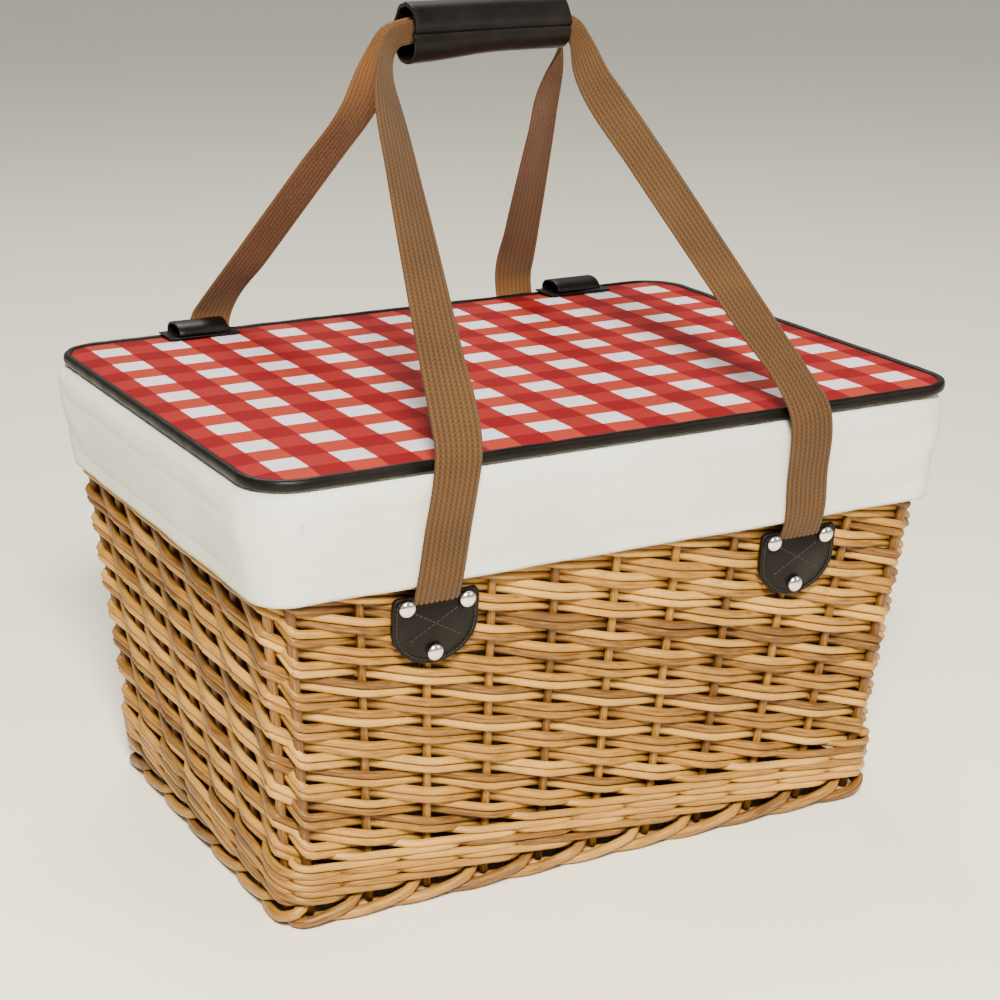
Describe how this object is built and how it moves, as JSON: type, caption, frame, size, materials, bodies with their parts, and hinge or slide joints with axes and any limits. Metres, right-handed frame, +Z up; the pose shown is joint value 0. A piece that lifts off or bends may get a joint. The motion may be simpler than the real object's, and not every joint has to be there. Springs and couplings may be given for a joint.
{
  "type": "wicker picnic basket",
  "caption": "Tapered woven wicker picnic basket with a cloth liner folded over its rim, a padded checked lid hinged at the back, and webbing handles joined by a leather grip.",
  "frame": {"origin": "on the floor, under the middle of the basket", "axes": "+X along the long front side to the right, +Y to the hinged back, +Z up"},
  "size_m": [0.436, 0.3502, 0.4742],
  "materials": {
    "wicker": "satin peeled willow",
    "liner_cloth": "matt cotton twill",
    "gingham_cloth": "matt woven check",
    "fibreboard": "raw board",
    "leather": "semi-gloss leather",
    "front_webbing": "ribbed cotton webbing",
    "rear_webbing": "ribbed cotton webbing",
    "nickel": "polished nickel"
  },
  "bodies": {
    "basket": {"base_mat": "wicker", "base_stick_left": "wicker", "base_stick_middle": "wicker", "base_stick_right": "wicker", "bottom_wale": "wicker", "corner_weave_back_left": "wicker", "corner_weave_back_right": "wicker", "corner_weave_front_left": "wicker", "corner_weave_front_right": "wicker", "foot_border": "wicker", "hinge_tab_left": "leather", "hinge_tab_right": "leather", "liner_bag": "liner_cloth", "liner_cuff": "liner_cloth", "post_back_left_back": "wicker", "post_back_left_side": "wicker", "post_back_right_back": "wicker", "post_back_right_side": "wicker", "post_front_left_front": "wicker", "post_front_left_side": "wicker", "post_front_right_front": "wicker", "post_front_right_side": "wicker", "rim_border": "wicker", "rivet_back_left_bottom": "nickel", "rivet_back_left_inner": "nickel", "rivet_back_left_outer": "nickel", "rivet_back_right_bottom": "nickel", "rivet_back_right_inner": "nickel", "rivet_back_right_outer": "nickel", "rivet_front_left_bottom": "nickel", "rivet_front_left_inner": "nickel", "rivet_front_left_outer": "nickel", "rivet_front_right_bottom": "nickel", "rivet_front_right_inner": "nickel", "rivet_front_right_outer": "nickel", "strap_patch_back_left": "leather", "strap_patch_back_right": "leather", "strap_patch_front_left": "leather", "strap_patch_front_right": "leather", "weave_back": "wicker", "weave_front": "wicker", "weave_left": "wicker", "weave_right": "wicker"},
    "lid": {"hinge_loop_left": "leather", "hinge_loop_right": "leather", "hinge_patch_left": "leather", "hinge_patch_right": "leather", "lid_binding": "leather", "lid_board": "fibreboard", "lid_cover": "gingham_cloth", "lid_lining": "liner_cloth"},
    "front_handle": {"front_webbing": "front_webbing", "grip_front": "leather"},
    "rear_handle": {"rear_webbing": "rear_webbing", "grip_rear": "leather"}
  },
  "joints": [
    {"name": "lid_hinge", "type": "hinge", "parent": "basket", "child": "lid", "pos_m": [0, 0.1666, 0.2575], "axis": [-1, 0, 0], "range_deg": [0, 90]},
    {"name": "front_handle_swing", "type": "hinge", "parent": "basket", "child": "front_handle", "pos_m": [0, -0.1605, 0.193], "axis": [1, 0, 0], "range_deg": [0, 150]},
    {"name": "rear_handle_swing", "type": "hinge", "parent": "basket", "child": "rear_handle", "pos_m": [0, 0.1605, 0.193], "axis": [-1, 0, 0], "range_deg": [0, 150]}
  ],
  "couplings": [
    {"joint": "front_handle_swing", "follows": "lid_hinge", "ratio": 1.65},
    {"joint": "rear_handle_swing", "follows": "lid_hinge", "ratio": 1.65}
  ]
}
